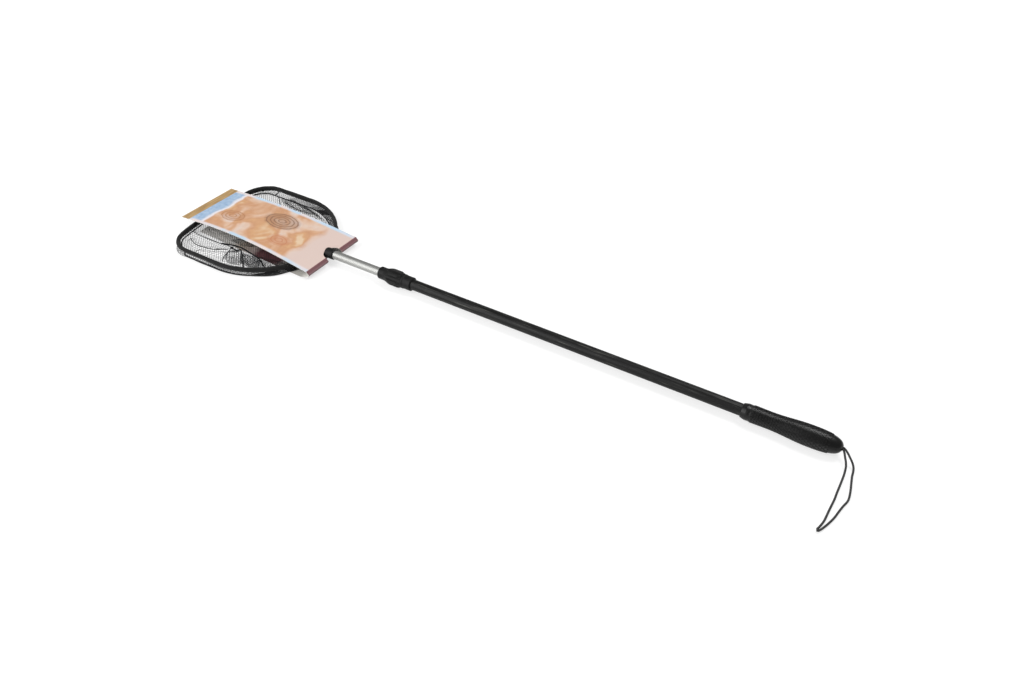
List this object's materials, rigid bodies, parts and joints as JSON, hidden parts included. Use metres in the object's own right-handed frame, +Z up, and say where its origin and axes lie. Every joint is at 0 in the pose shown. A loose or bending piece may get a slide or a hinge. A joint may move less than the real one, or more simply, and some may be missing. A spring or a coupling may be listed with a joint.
{
  "type": "telescopic pond net",
  "caption": "Telescopic pond net: black mesh bag on a rounded hoop, twist-lock aluminium pole, moulded grip with wrist cord, sleeve card on the net.",
  "frame": {"origin": "middle of the part's footprint on the floor, without the wrist cord", "axes": "+X along the pole towards the grip, +Z up from the floor that the net lies on"},
  "size_m": [1.2816, 0.2758, 0.0315],
  "materials": {
    "black_tube": "black coated, satin with faint drawing lines",
    "black_plastic": "moulded, satin",
    "grip_rubber": "moulded with small diamonds, matte",
    "pale_nylon": "natural nylon",
    "bare_aluminium": "drawn and anodised, satin",
    "hoop_wire": "black coated steel wire",
    "rim_cloth": "woven polyester binding",
    "net_mesh": "knitted polyester mesh",
    "printed_card": "coated paperboard, printed in pale bands",
    "wrist_cord": "round braided polyester cord"
  },
  "bodies": {
    "handle": {"outer_tube": "black_tube", "end_plug": "black_plastic", "grip": "grip_rubber", "lock_body": "black_plastic", "collet": "pale_nylon", "cord_knot": "wrist_cord", "cord_strand_long": "wrist_cord", "cord_strand_short": "wrist_cord", "cord_bead": "wrist_cord"},
    "twist_nut": {"lock_nut": "black_plastic"},
    "guide": {"slide_bush": "pale_nylon"},
    "head": {"inner_tube": "bare_aluminium", "hoop_socket": "black_plastic", "hoop_wire": "hoop_wire", "rim_sleeve": "rim_cloth", "net_bag": "net_mesh", "bag_seams": "rim_cloth", "sleeve_card": "printed_card"}
  },
  "joints": [
    {"name": "lock_twist", "type": "hinge", "parent": "handle", "child": "twist_nut", "pos_m": [-0.16, 0, 0.01575], "axis": [1, 0, 0], "range_deg": [0, 180]},
    {"name": "pole_extend", "type": "slide", "parent": "handle", "child": "guide", "axis": [-1, 0, 0], "range_m": [0, 0.6]},
    {"name": "head_swivel", "type": "hinge", "parent": "guide", "child": "head", "pos_m": [0, 0, 0.01575], "axis": [1, 0, 0], "continuous": true}
  ]
}
